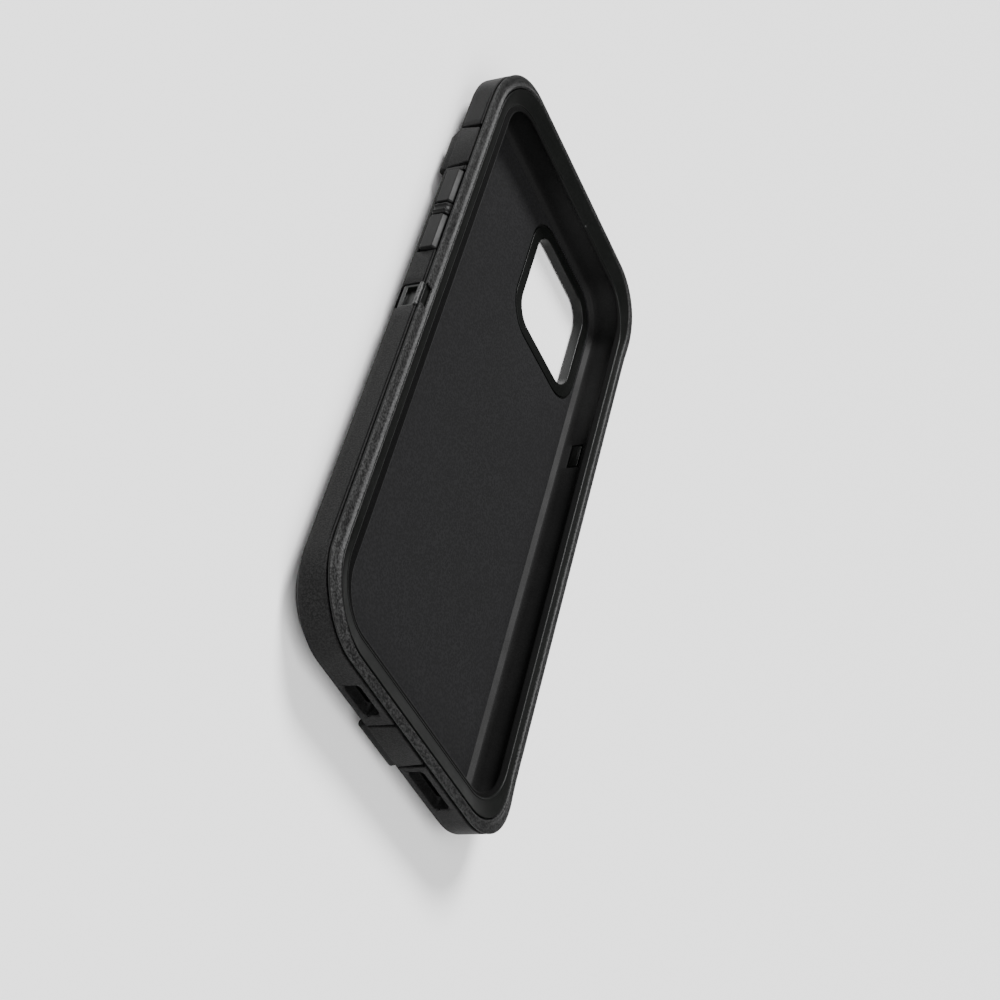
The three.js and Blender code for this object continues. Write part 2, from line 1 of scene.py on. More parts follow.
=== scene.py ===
"""Looks of a rugged two-part phone case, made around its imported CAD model.

Metres in Blender; sizes in this script are millimetres until a mesh is made.
+X is the phone's right seen from the front, +Y its top end, +Z out of its glass.
"""

import math

import bpy
import numpy as np
from mathutils import Matrix, Vector


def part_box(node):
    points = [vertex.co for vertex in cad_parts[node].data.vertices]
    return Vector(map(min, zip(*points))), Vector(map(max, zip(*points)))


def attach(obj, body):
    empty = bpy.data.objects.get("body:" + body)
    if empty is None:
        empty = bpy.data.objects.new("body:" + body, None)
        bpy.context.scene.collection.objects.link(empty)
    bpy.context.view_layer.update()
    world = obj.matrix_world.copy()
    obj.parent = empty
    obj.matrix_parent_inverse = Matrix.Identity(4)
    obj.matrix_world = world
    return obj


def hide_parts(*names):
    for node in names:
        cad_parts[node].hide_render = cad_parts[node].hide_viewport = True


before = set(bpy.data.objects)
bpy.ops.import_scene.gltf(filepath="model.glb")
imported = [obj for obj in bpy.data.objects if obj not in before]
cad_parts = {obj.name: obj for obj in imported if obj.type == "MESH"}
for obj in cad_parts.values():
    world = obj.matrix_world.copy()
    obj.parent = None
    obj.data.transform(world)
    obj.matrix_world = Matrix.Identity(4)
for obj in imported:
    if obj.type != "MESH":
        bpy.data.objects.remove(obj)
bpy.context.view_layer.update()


# ---------------------------------------------------------------- outer sleeve
# The soft outer jacket: back, wide back chamfer and side walls in one moulding of
# thermoplastic elastomer, with a fine matt grain. It stretches over the hard tray.
# Its walls are cut for the keys, two hinged covers, the side latches and the sound.

MM = 0.001
LAYERS = 6.0                    # all the case's layers beside the phone
WALL_X, WALL_Y = (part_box("outer_sleeve")[1][k] / MM for k in (0, 1))
SIDE, END = WALL_X - LAYERS, WALL_Y - LAYERS
CREST, END_RISE, RISE_LENGTH = 0.45, 1.35, 21.0
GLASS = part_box("rim_bumper")[1].z / MM - CREST - END_RISE
OUTER_CORNER, PHONE_CORNER = 16.5, 12.4
SLEEVE_IN = 2.85                # sleeve's inner face, out from the phone
SLEEVE_TOP = GLASS - 1.2
EASE = 0.2                      # softened edge around every cut
SLOT_MIDDLE, SLOT_HEIGHT, SLOT_CORNER = GLASS - 3.2, 3.7, 1.1
SLOTS = ((-16.0, 10.2), (16.3, 14.2))
FIT = 0.25
COVER_GAP = 0.4                 # beside a hinged cover
KEY_GAP = 0.35                  # beside a key and below it
PLUNGER_GAP = 0.35              # beside a plunger
SWITCH_HALF = 4.5               # half the ring switch's opening


def span_of(node, axis, margin):
    """Where a CAD node begins and ends along an axis, grown by a margin, in millimetres."""
    low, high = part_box(node)
    return low[axis] / MM - margin, high[axis] / MM + margin


MUTE_CUT = span_of("mute_switch_cover", 1, COVER_GAP)
VOLUME_CUT = (
    span_of("volume_down_button", 1, KEY_GAP)[0], span_of("volume_up_button", 1, KEY_GAP)[1],
)
POWER_CUT = span_of("power_button", 1, KEY_GAP)
LATCH_CUT = span_of("side_latch_left", 1, FIT)
PORT_CUT = span_of("port_cover", 0, COVER_GAP)
NOTCH_CUT = (-3.0, 3.0)
PLUNGERS = ("volume_up", "volume_down", "power")
PLUNGER_CUTS = [span_of(f"{name}_plunger", 1, PLUNGER_GAP) for name in PLUNGERS]
SWITCH_CUT = (sum(MUTE_CUT) / 2 - SWITCH_HALF, sum(MUTE_CUT) / 2 + SWITCH_HALF)
EAR_CUT = (-8.0, 8.0)
PORT_WAY = (-5.75, 5.75)
SLOT_CUTS = [(middle - width / 2, middle + width / 2) for middle, width in SLOTS]
RELIEF = 0.4                    # inner walls' openings around a sound slot


def spread(low, high, step, marks):
    """Places from low to high: every mark, with equal steps no longer than step between them."""
    edges = np.unique(np.round([low, *marks, high], 2))
    counts = np.ceil(np.diff(edges) / step).astype(int)
    runs = [np.linspace(a, b, n, endpoint=False) for a, b, n in zip(edges[:-1], edges[1:], counts)]
    return np.concatenate([*runs, [high]])


HOLD_Y, STRAIGHT_Y = 62.0, 68.0     # stations keep their place up to the first
HOLD_X, STRAIGHT_X = 24.4, 26.5
rounding = SLOT_CORNER * (1 - np.cos(np.radians([20, 40, 60, 90])))
side_cuts = [MUTE_CUT, VOLUME_CUT, POWER_CUT, LATCH_CUT, NOTCH_CUT, SWITCH_CUT, *PLUNGER_CUTS]
end_cuts = [PORT_CUT, EAR_CUT, PORT_WAY, *SLOT_CUTS, *((a - RELIEF, b + RELIEF) for a, b in SLOT_CUTS)]
side_marks = [edge + shift for cut in side_cuts for edge in cut for shift in (-EASE, 0, EASE)]
end_marks = [edge + shift for cut in end_cuts for edge in cut for shift in (-EASE, 0, EASE)]
end_marks += [spot for a, b in SLOT_CUTS for step in rounding for spot in (a + step, b - step)]
side_places = spread(-STRAIGHT_Y, STRAIGHT_Y, 3.0, [*side_marks, -HOLD_Y, HOLD_Y])
end_places = spread(-STRAIGHT_X, STRAIGHT_X, 3.0, [*end_marks, -HOLD_X, HOLD_X])
arc = np.linspace(0, np.pi / 2, 25)[1:-1]

# One round of stations: right side, corner, top end, corner, left side, corner, bottom, corner.
RIGHT, TOP, LEFT, BOTTOM, CORNER = range(5)
runs = [
    (RIGHT, 0, 1, 0, side_places), (CORNER, 0, 1, 1, arc),
    (TOP, 1, 0, 1, end_places[::-1]), (CORNER, 1, -1, 1, arc),
    (LEFT, 2, -1, 0, side_places[::-1]), (CORNER, 2, -1, -1, arc),
    (BOTTOM, 3, 0, -1, end_places), (CORNER, 3, 1, -1, arc),
]
face = np.concatenate([np.full(len(run), where) for where, *_, run in runs])
turn = np.concatenate([
    quarter * np.pi / 2 + (run if where == CORNER else 0 * run) for where, quarter, _, _, run in runs
])
sign_x = np.concatenate([np.full(len(run), x) for _, _, x, _, run in runs])
sign_y = np.concatenate([np.full(len(run), y) for _, _, _, y, run in runs])
place = np.concatenate([run if where != CORNER else 0 * run for where, *_, run in runs])


def stretched(places, hold, straight, reach):
    """Places beyond hold are moved in proportion, so that the one at straight comes to reach."""
    beyond = np.clip(np.abs(places) - hold, 0, None) * (reach - hold) / (straight - hold)
    return np.sign(places) * (np.minimum(np.abs(places), hold) + beyond)


def loop(half_x, half_y, corner):
    """Rounded rectangle through all stations: straight runs by place, corners by turn."""
    x = sign_x * (half_x - corner) + corner * np.cos(turn)
    y = sign_y * (half_y - corner) + corner * np.sin(turn)
    on_end = np.isin(face, (TOP, BOTTOM))
    on_side = np.isin(face, (RIGHT, LEFT))
    x = np.where(on_end, stretched(place, HOLD_X, STRAIGHT_X, half_x - corner), x)
    y = np.where(on_side, stretched(place, HOLD_Y, STRAIGHT_Y, half_y - corner), y)
    return x, y


wall_y = np.abs(loop(WALL_X, WALL_Y, OUTER_CORNER)[1])
share = np.clip((wall_y - WALL_Y + RISE_LENGTH) / RISE_LENGTH, 0, 1)
RISE = END_RISE * share**2 * (3 - 2 * share)


def within(where, cut):
    """Which cells, each from one station to the next, lie on a face between two places."""
    middle = (place + np.roll(place, -1)) / 2
    same = (face == where) & (np.roll(face, -1) == where)
    return same & (middle > cut[0]) & (middle < cut[1])


def at(where, cut):
    """Which stations lie on a face from one place to another, both included."""
    return (face == where) & (place > cut[0] - 0.01) & (place < cut[1] + 0.01)


def eased(points, steps=4):
    """A line through points whose last number is its cut: at a cut above 0 the line leaves
    that point by the cut before it and joins again after it, along a parabola."""
    points = np.array(points, float)
    path, cuts = points[:, :-1], points[:, -1]
    t = np.linspace(0, 1, steps + 1)[:, None]
    made = []
    for k, cut in enumerate(cuts):
        if cut == 0:
            made.append(path[k:k + 1])
            continue
        back, on = path[k - 1] - path[k], path[(k + 1) % len(path)] - path[k]
        start = path[k] + back * cut / np.abs(back).max()
        stop = path[k] + on * cut / np.abs(on).max()
        made.append((1 - t) ** 2 * start + 2 * t * (1 - t) * path[k] + t**2 * stop)
    return np.concatenate(made)


def rings(rows):
    """Rings around the case, one for each row of (side, end, corner, height, lift): how far it is
    out from the phone's sides and ends, its corner radius, its height, its share of the rise."""
    out, end, corner, height, lift = (np.asarray(rows)[:, k, None] for k in range(5))
    x, y = loop(SIDE + out, END + end, corner)
    return np.stack([x, y, height + lift * RISE + 0 * x], axis=2)


def shell(outer, inner, cuts=None, ease=0.0):
    """A wall between two grids of rings. Cut cells are left out of both, and every edge beside a
    cut, and the first and last rings, get faces from one grid to the other. Corners beside a cut
    are drawn towards the other grid by ease, which softens the cut's edge."""
    rows, around = outer.shape[:2]
    kept = np.ones((rows - 1, around), bool) if cuts is None else ~cuts
    index = np.arange(rows * around).reshape(rows, around)
    right = np.roll(index, -1, axis=1)
    a, b, c, d = index[:-1], right[:-1], right[1:], index[1:]
    far = rows * around
    none = np.zeros((1, around), bool)
    beside = (
        (a, b, np.vstack([none, kept[:-1]])), (c, d, np.vstack([kept[1:], none])),
        (b, c, np.roll(kept, -1, axis=1)), (d, a, np.roll(kept, 1, axis=1)),
    )
    quads = np.stack([a, b, c, d], axis=2)[kept]
    walls = [np.stack([q, p, p + far, q + far], axis=2)[kept & ~next_to] for p, q, next_to in beside]
    if ease:
        edge = np.unique(np.concatenate([wall[:, :2].ravel() for wall in walls]))
        across = (inner - outer).reshape(-1, 3)[edge]
        across /= np.maximum(np.linalg.norm(across, axis=1, keepdims=True), 1e-6)
        outer = outer.copy().reshape(-1, 3)
        inner = inner.copy().reshape(-1, 3)
        outer[edge] += ease * across
        inner[edge] -= ease * across
    points = np.concatenate([outer.reshape(-1, 3), inner.reshape(-1, 3)])
    faces = np.concatenate([quads, quads[:, ::-1] + far, *walls])
    used, renumbered = np.unique(faces, return_inverse=True)
    return points[used], renumbered.reshape(-1, 4)


def piece(name, body, points, faces, material, slot, stands_for=(), sharp=48):
    """Makes the mesh, with its faces turned outwards by the sign of its volume, and lets it ride."""
    faces = [list(map(int, corners)) for corners in faces]
    first = np.array([corners[:3] for corners in faces])
    last = np.array([[corners[0], *corners[-2:]] for corners in faces])
    corners = points[np.concatenate([first, last[[len(f) > 3 for f in faces]]])]
    middle = points.mean(axis=0)
    volume = np.einsum(
        "ij,ij->i", corners[:, 0] - middle, np.cross(corners[:, 1] - middle, corners[:, 2] - middle)
    ).sum()
    if volume < 0:
        faces = [corners[::-1] for corners in faces]
    mesh = bpy.data.meshes.new(name)
    mesh.from_pydata((points * MM).tolist(), [], faces)
    mesh.shade_smooth()
    mesh.set_sharp_from_angle(angle=math.radians(sharp))
    mesh.materials.append(material)
    made = bpy.data.objects.new(name, mesh)
    bpy.context.scene.collection.objects.link(made)
    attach(made, body)
    if stands_for:
        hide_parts(*stands_for)
    return made


def linear(code):
    """sRGB hex colour, as #rrggbb, to linear RGBA."""
    channels = [int(code[k:k + 2], 16) / 255 for k in (1, 3, 5)]
    return [c / 12.92 if c <= 0.04045 else ((c + 0.055) / 1.055) ** 2.4 for c in channels] + [1]


def add(tree, kind, inputs=None, **settings):
    """Adds a node: settings are its own, inputs are values or the outputs linked to its sockets."""
    made = tree.nodes.new(kind)
    for name, value in settings.items():
        setattr(made, name, value)
    for socket, value in (inputs or {}).items():
        if isinstance(value, bpy.types.NodeSocket):
            tree.links.new(value, made.inputs[socket])
        else:
            made.inputs[socket].default_value = value
    return made


def moulded(name, grain, depth, dark, pale, roughness, pits=0.0, **sockets):
    """A moulded plastic: grain is the spacing of its surface texture and depth its height, both in
    millimetres; its colour runs from dark in the hollows to pale on the high spots, which paints
    shade into the grain's hollows and a highlight onto its high spots; pits is how
    far the grain is broken into cells, as on a leather grain, instead of soft waves."""
    made = bpy.data.materials.new(name)
    made.use_nodes = True
    tree = made.node_tree
    shader = tree.nodes["Principled BSDF"]
    for socket, value in sockets.items():
        shader.inputs[socket.replace("_", " ")].default_value = value
    spot = add(tree, "ShaderNodeTexCoord").outputs["Object"]
    waves = add(tree, "ShaderNodeTexNoise", {
        "Vector": spot, "Scale": 1 / (grain * MM), "Detail": 2.0, "Roughness": 0.6,
    })
    cells = add(tree, "ShaderNodeTexVoronoi", {
        "Vector": spot, "Scale": 0.8 / (grain * MM), "Randomness": 1.0,
    })
    relief = add(tree, "ShaderNodeMix", {
        "Factor": pits, "A": waves.outputs["Fac"], "B": cells.outputs["Distance"],
    })
    patches = add(tree, "ShaderNodeTexNoise", {
        "Vector": spot, "Scale": 1 / (9 * MM), "Detail": 3.0, "Roughness": 0.55,
    })
    level = add(tree, "ShaderNodeMapRange", {
        "Value": relief.outputs["Result"], "From Min": 0.43, "From Max": 0.6,
    })
    worn = add(tree, "ShaderNodeMapRange", {
        "Value": patches.outputs["Fac"], "From Min": 0.25, "From Max": 0.75,
        "To Min": 0.55, "To Max": 1.0,
    })
    share = add(tree, "ShaderNodeMath", {
        0: level.outputs["Result"], 1: worn.outputs["Result"],
    }, operation="MULTIPLY")
    # Painted shade and highlight: the colour follows the grain's relief, dark in its hollows and pale
    # on its high spots, scaled by random patches.
    colour = add(tree, "ShaderNodeMix", {
        "Factor": share.outputs["Value"], "A": linear(dark), "B": linear(pale),
    }, data_type="RGBA")
    sheen = add(tree, "ShaderNodeMapRange", {
        "Value": patches.outputs["Fac"], "From Min": 0.3, "From Max": 0.7,
        "To Min": roughness - 0.05, "To Max": roughness + 0.05,
    })
    bump = add(tree, "ShaderNodeBump", {
        "Height": relief.outputs["Result"], "Distance": depth * MM, "Strength": 1.0,
    })
    tree.links.new(colour.outputs["Result"], shader.inputs["Base Color"])
    tree.links.new(sheen.outputs["Result"], shader.inputs["Roughness"])
    tree.links.new(bump.outputs["Normal"], shader.inputs["Normal"])
    return made


# Thermoplastic elastomer moulded against a spark-eroded tool: it is matt, with a fine grain whose
# hollows are painted a little darker and high spots a little paler, as painted shade and highlight,
# more so in random patches.
soft_tpe = moulded(
    "TPE_fine_grain", 0.34, 0.06, "#040404", "#1c1c1c", 0.6, pits=0.15, Specular_IOR_Level=0.11,
)

# The camera window in the sleeve, the tray, the guard and the liner is one rounded square.
GUARD_LOW, GUARD_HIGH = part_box("camera_guard")
WINDOW_X, WINDOW_Y = ((GUARD_LOW[k] + GUARD_HIGH[k]) / 2 / MM for k in (0, 1))
WINDOW_HALF, WINDOW_CORNER = 17.0, 8.0


def window(half, corner, around):
    """A rounded square about the camera window's middle, met by a ray to each point of around: the
    ray ends on a straight side, or on the corner's arc where it would pass beyond that side."""
    wanted = np.arctan2(around[:, 1] - WINDOW_Y, around[:, 0] - WINDOW_X)
    part_x, part_y = np.abs(np.cos(wanted)), np.abs(np.sin(wanted))
    side = half - corner
    flat = half / np.maximum(part_x, part_y)
    lead = side * (part_x + part_y)
    arc = lead + np.sqrt(np.clip(lead**2 - 2 * side**2 + corner**2, 0, None))
    reach = np.where(np.minimum(part_x, part_y) * flat > side, arc, flat)
    return np.stack([
        WINDOW_X + reach * np.cos(wanted), WINDOW_Y + reach * np.sin(wanted), around[:, 2],
    ], axis=1)


def floor_rings(edge, half, corner, softened=EASE, count=5):
    """Rings of a flat floor, from the camera window out to, but without, the given edge ring."""
    inner = window(half, corner, edge)
    next_in = window(half + softened, corner + softened, edge)
    t = np.linspace(0, 1, count, endpoint=False)[:, None, None]
    return np.concatenate([inner[None], next_in + t * (edge - next_in)])


def arch(cut, grow):
    """Half the height of a sound slot at each station, with its rounded corners, grown by grow."""
    radius = SLOT_CORNER + grow
    middle, half = sum(cut) / 2, (cut[1] - cut[0]) / 2 + grow
    near = np.clip(radius - (half - np.abs(place - middle)), 0, radius)
    return SLOT_HEIGHT / 2 + grow - radius + np.sqrt(radius**2 - near**2)


sleeve_foot = [
    # side, end, corner, height, lift, cut
    (-0.9, -0.9, 9.6, 0.0, 0, 0),
    (0.0, 0.0, 10.5, 0.0, 0, 0.8),
    (3.5, 3.5, 14.0, 2.53, 0, 0),
    (5.5, 5.5, 16.0, 3.98, 0, 0.3),
    (5.58, 5.58, 16.08, 4.36, 0, 0.1),
    (6.0, 6.0, 16.5, 4.56, 0, 0.14),
]
sleeve_foot_inside = [
    (-0.668, -0.668, 11.732, 1.0, 0, 0),
    (-0.4, -0.4, 12.0, 1.19, 0, 0.1),
    (2.8, 2.8, 15.2, 3.5, 0, 0),
    (SLEEVE_IN, SLEEVE_IN, 15.25, 3.9, 0, 0.1),
    (SLEEVE_IN, SLEEVE_IN, 15.25, 4.4, 0, 0.1),
    (SLEEVE_IN, SLEEVE_IN, 15.25, 4.6, 0, 0.1),
]
KEY_CUT_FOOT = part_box("volume_up_button")[0].z / MM - KEY_GAP
SLOT_ROWS, WALL_FOOT = 5, 4.85
# Levels of the cut rows at the stations where nothing is cut.
SLEEVE_LEVELS, TRAY_LEVELS = (5.9, 9.3), (5.2, 9.3)
base = rings(eased(sleeve_foot))
base_in = rings(eased(sleeve_foot_inside))
around = len(place)
ones = np.ones(around)

low_cut, high_cut = (level * ones for level in SLEEVE_LEVELS)
low_soft, high_soft = low_cut - EASE, high_cut + EASE
for cut in SLOT_CUTS:
    here = at(BOTTOM, cut)
    low_cut = np.where(here, SLOT_MIDDLE - arch(cut, 0), low_cut)
    high_cut = np.where(here, SLOT_MIDDLE + arch(cut, 0), high_cut)
    near = at(BOTTOM, (cut[0] - EASE, cut[1] + EASE))
    low_soft = np.where(near, SLOT_MIDDLE - arch(cut, EASE), low_soft)
    high_soft = np.where(near, SLOT_MIDDLE + arch(cut, EASE), high_soft)
for where, cut in ((LEFT, VOLUME_CUT), (RIGHT, POWER_CUT)):
    here = at(where, (cut[0] - EASE, cut[1] + EASE))
    low_cut = np.where(here, KEY_CUT_FOOT, low_cut)
    low_soft = np.where(here, KEY_CUT_FOOT - EASE, low_soft)
t = np.linspace(0, 1, SLOT_ROWS)[:, None]
heights = np.concatenate([
    WALL_FOOT * ones[None], low_soft[None], low_cut + t * (high_cut - low_cut), high_soft[None],
])
upper = len(heights)


def upright(out, corner, heights):
    """Rings of an upright wall at one distance out, at a grid of heights."""
    x, y = loop(SIDE + out, END + out, corner)
    return np.stack([x + 0 * heights, y + 0 * heights, heights], axis=2)


brim = rings(eased([
    (6.0, 6.0, 16.5, SLEEVE_TOP - 0.45, 1, 0), (6.0, 6.0, 16.5, SLEEVE_TOP, 1, 0.28),
    (5.6, 5.6, 16.1, SLEEVE_TOP, 1, 0),
]))
brim_in = rings(eased([
    (SLEEVE_IN, SLEEVE_IN, 15.25, SLEEVE_TOP - 0.45, 1, 0),
    (SLEEVE_IN, SLEEVE_IN, 15.25, SLEEVE_TOP - 0.2, 1, 0.1),
    (SLEEVE_IN, SLEEVE_IN, 15.25, SLEEVE_TOP, 1, 0),
]))
sleeve_out = np.concatenate([
    floor_rings(base[0], WINDOW_HALF, WINDOW_CORNER), base,
    upright(LAYERS, OUTER_CORNER, heights), brim,
])
sleeve_in = np.concatenate([
    floor_rings(base_in[0], WINDOW_HALF, WINDOW_CORNER), base_in,
    upright(SLEEVE_IN, PHONE_CORNER + SLEEVE_IN, heights), brim_in,
])
floor_count = len(sleeve_out) - len(base) - upper - len(brim)
wall_start = floor_count + len(base)
HINGE_ROW = floor_count + 6         # where the groove of a cover's hinge begins
LIP_ROW = floor_count + 7           # the chamfer's upper edge
cuts = np.zeros((len(sleeve_out) - 1, around), bool)
cuts[HINGE_ROW:] |= within(LEFT, MUTE_CUT) | within(BOTTOM, PORT_CUT)
cuts[LIP_ROW:] |= within(LEFT, LATCH_CUT) | within(RIGHT, LATCH_CUT)
cuts[wall_start + 2:] |= within(LEFT, VOLUME_CUT) | within(RIGHT, POWER_CUT)
for cut in SLOT_CUTS:
    cuts[wall_start + 2:wall_start + 1 + SLOT_ROWS] |= within(BOTTOM, cut)
piece(
    "outer_sleeve_skin", "case", *shell(sleeve_out, sleeve_in, cuts, ease=0.12),
    soft_tpe, "soft_black", ["outer_sleeve"],
)


# ---------------------------------------------------------------- hard inner tray
# The structural half of the case: a tray of satin polycarbonate that the phone's back lies
# in. Its wall is open at the keys, the ring switch, the port and the sound slots, and a
# short lug at each side carries a latch.

# Polycarbonate from a blasted tool: dull inside the case, under the phone.
blasted_pc = moulded(
    "polycarbonate_blasted", 0.4, 0.02, "#090909", "#131313", 0.62, Specular_IOR_Level=0.2,
)
# Polycarbonate from a stoned tool: satin, almost smooth.
satin_pc = moulded(
    "polycarbonate_satin", 0.5, 0.004, "#080908", "#0e0f0e", 0.36, Specular_IOR_Level=0.2,
)

SHELL_IN, SHELL_OUT, SHELL_BASE, SHELL_TOP = 0.25, 1.35, 1.25, 10.1
PLUNGER_LEVELS, SWITCH_LEVELS, RELIEF_LEVELS = (5.4, 8.7), (4.75, 9.35), (5.5, 9.75)
inner_cuts = [
    (LEFT, PLUNGER_CUTS[0], PLUNGER_LEVELS), (LEFT, PLUNGER_CUTS[1], PLUNGER_LEVELS),
    (RIGHT, PLUNGER_CUTS[2], PLUNGER_LEVELS), (LEFT, SWITCH_CUT, SWITCH_LEVELS),
    *((BOTTOM, (a - RELIEF, b + RELIEF), RELIEF_LEVELS) for a, b in SLOT_CUTS),
]
PORT_FOOT = 5.35
port_cut = (BOTTOM, PORT_WAY, (PORT_FOOT, 9.75))

low_cut, high_cut = (level * ones for level in TRAY_LEVELS)
for where, cut, (low, high) in [*inner_cuts, port_cut]:
    near = at(where, (cut[0] - EASE, cut[1] + EASE))
    low_cut, high_cut = np.where(near, low, low_cut), np.where(near, high, high_cut)
t = np.linspace(0, 1, 4)[:, None]
heights = np.concatenate([
    (3.6 + 0 * ones)[None], (low_cut - EASE)[None], low_cut + t * (high_cut - low_cut),
    np.minimum(high_cut + EASE, SHELL_TOP - 0.12)[None], (SHELL_TOP + 0 * ones)[None],
])
base = rings(eased([
    (-0.75, -0.75, 11.65, SHELL_BASE, 0, 0), (-0.4, -0.4, 12.0, SHELL_BASE + 0.25, 0, 0.2),
    (SHELL_OUT, SHELL_OUT, PHONE_CORNER + SHELL_OUT, 2.772, 0, 0.3),
]))
base_in = rings(eased([
    (-1.244, -1.244, 11.156, SHELL_BASE + 1.0, 0, 0), (-0.9, -0.9, 11.5, 2.5, 0, 0.2),
    (SHELL_IN, SHELL_IN, PHONE_CORNER + SHELL_IN, 3.333, 0, 0.2),
]))
tray_out = np.concatenate([
    floor_rings(base[0], WINDOW_HALF, WINDOW_CORNER), base,
    upright(SHELL_OUT, PHONE_CORNER + SHELL_OUT, heights),
])
tray_in = np.concatenate([
    floor_rings(base_in[0], WINDOW_HALF, WINDOW_CORNER), base_in,
    upright(SHELL_IN, PHONE_CORNER + SHELL_IN, heights),
])
wall_start = len(tray_out) - len(heights)
cuts = np.zeros((len(tray_out) - 1, around), bool)
for where, cut, _ in inner_cuts:
    cuts[wall_start + 2:wall_start + 5] |= within(where, cut)
cuts[wall_start + 2:] |= within(BOTTOM, PORT_WAY)
piece(
    "tray", "case", *shell(tray_out, tray_in, cuts, ease=0.08), blasted_pc, "hard_black",
    ["back_shell"],
)


def stand(where, along, up, out):
    """Points given along a wall, up and out from the phone, on the wall of that side of the case."""
    along, up, out = np.broadcast_arrays(along, up, out)
    placed = {
        LEFT: (-SIDE - out, along, up), RIGHT: (SIDE + out, along, up), BOTTOM: (along, -END - out, up),
    }[where]
    return np.stack(placed, axis=-1)


def loft(loops, closed=False):
    """A skin through loops of equal length. The first and last are joined to each other if it is
    closed, and otherwise each is filled flat. Returns points and faces."""
    rows, count = loops.shape[:2]
    index = np.arange(rows * count).reshape(rows, count)
    lower = index if closed else index[:-1]
    upper = np.roll(index, -1, axis=0) if closed else index[1:]
    quads = np.stack([
        lower, np.roll(lower, -1, axis=1), np.roll(upper, -1, axis=1), upper,
    ], axis=2).reshape(-1, 4)
    caps = [] if closed else [index[0][::-1], index[-1]]
    return loops.reshape(-1, 3), [*quads, *caps]


def block(where, rows, closed=False, corners=6):
    """A block that stands out of a wall, lofted through rounded rectangles, one for each row of
    (low and high along the wall, low and high up, corner radius, distance out, cut)."""
    rows = eased(rows)
    low_a, high_a, low_b, high_b, corner, out = (rows[:, k, None] for k in range(6))
    turns = (np.arange(4)[:, None] + np.linspace(0, 1, corners)) * np.pi / 2
    one_a = np.repeat([1, -1, -1, 1], corners)
    one_b = np.repeat([1, 1, -1, -1], corners)
    turns = turns.ravel()
    along = np.where(one_a > 0, high_a - corner, low_a + corner) + corner * np.cos(turns)
    up = np.where(one_b > 0, high_b - corner, low_b + corner) + corner * np.sin(turns)
    return loft(stand(where, along, up, out), closed)


LUG_HALF, LUG_LEVELS, LUG_OUT = 2.5, (4.6, 5.25), 3.9
for side_name, where in (("left", LEFT), ("right", RIGHT)):
    flat = (-LUG_HALF, LUG_HALF, *LUG_LEVELS, 0.15)
    piece(
        f"latch_lug_{side_name}", "case",
        *block(where, [
            (*flat, SHELL_OUT, 0), (*flat, LUG_OUT, 0.12), (-2.2, 2.2, 4.75, 5.1, 0.1, LUG_OUT, 0),
        ]),
        satin_pc, "hard_black",
    )


# ---------------------------------------------------------------- foam liner and camera guard
# A thin sheet of closed-cell foam lies on the tray's floor under the phone. A hard ring lines
# the camera window through tray and sleeve, and stands just clear of the surface behind.

# Closed-cell polyurethane foam: dull, with bubbles under half a millimetre across.
foam = moulded(
    "polyurethane_foam", 0.45, 0.05, "#0a0a0b", "#141415", 0.9, pits=0.7, Specular_IOR_Level=0.2,
)
PAD_LOW, PAD_HIGH = (corner.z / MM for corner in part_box("back_pad"))
half, corner = WINDOW_HALF + 1.6 + FIT, WINDOW_CORNER + 1.6
pad_edge = eased([
    (-2.0, -2.0, 10.4, PAD_LOW, 0, 0), (-2.0, -2.0, 10.4, PAD_HIGH, 0, 0.12),
    (-2.3, -2.3, 10.1, PAD_HIGH, 0, 0),
])
pad_rim = rings(pad_edge)
pad_under = rings([(-2.3, -2.3, 10.1, PAD_LOW, 0)])
top = floor_rings(pad_rim[-1], half, corner)
under = floor_rings(pad_under[-1], half, corner)
rim_under = np.repeat(rings([(-2.0, -2.0, 10.4, PAD_LOW, 0)]), len(pad_rim) - 1, axis=0)
liner = piece(
    "foam_liner", "case",
    *shell(
        np.concatenate([top, pad_rim[::-1][:-1]]), np.concatenate([under, rim_under]), ease=0.05,
    ),
    foam, "foam", ["back_pad"],
)

GUARD_WALL, GUARD_FLANGE = 1.6, 1.6
guard_half = WINDOW_HALF - FIT
low, high = GUARD_LOW.z / MM, GUARD_HIGH.z / MM
guard_section = eased([
    # out from the guard's outer face, height, cut
    (0.0, low, 0.25), (0.0, high - 0.4, 0), (GUARD_FLANGE, high - 0.4, 0.08),
    (GUARD_FLANGE, high, 0.12), (-GUARD_WALL, high, 0.3), (-GUARD_WALL, low, 0.3),
])
turns = np.linspace(0, 2 * np.pi, 4 * 20, endpoint=False) + np.pi / 80
corner = WINDOW_CORNER - FIT + guard_section[:, :1]
straight = guard_half - WINDOW_CORNER + FIT
sign = np.sign(np.cos(turns)), np.sign(np.sin(turns))
guard = np.stack([
    WINDOW_X + sign[0] * straight + corner * np.cos(turns),
    WINDOW_Y + sign[1] * straight + corner * np.sin(turns),
    guard_section[:, 1:] + 0 * turns,
], axis=2)
piece("camera_ring", "case", *loft(guard, closed=True), satin_pc, "hard_black", ["camera_guard"])


# ---------------------------------------------------------------- front frame
# The hard frame that closes the case: a thin lip over the glass, a sloping band round it with
# a fine ridge at its inner edge, a flange that shows in the seam, and a skirt that pushes
# down between tray and sleeve. It lifts off once the latches are pulled out.

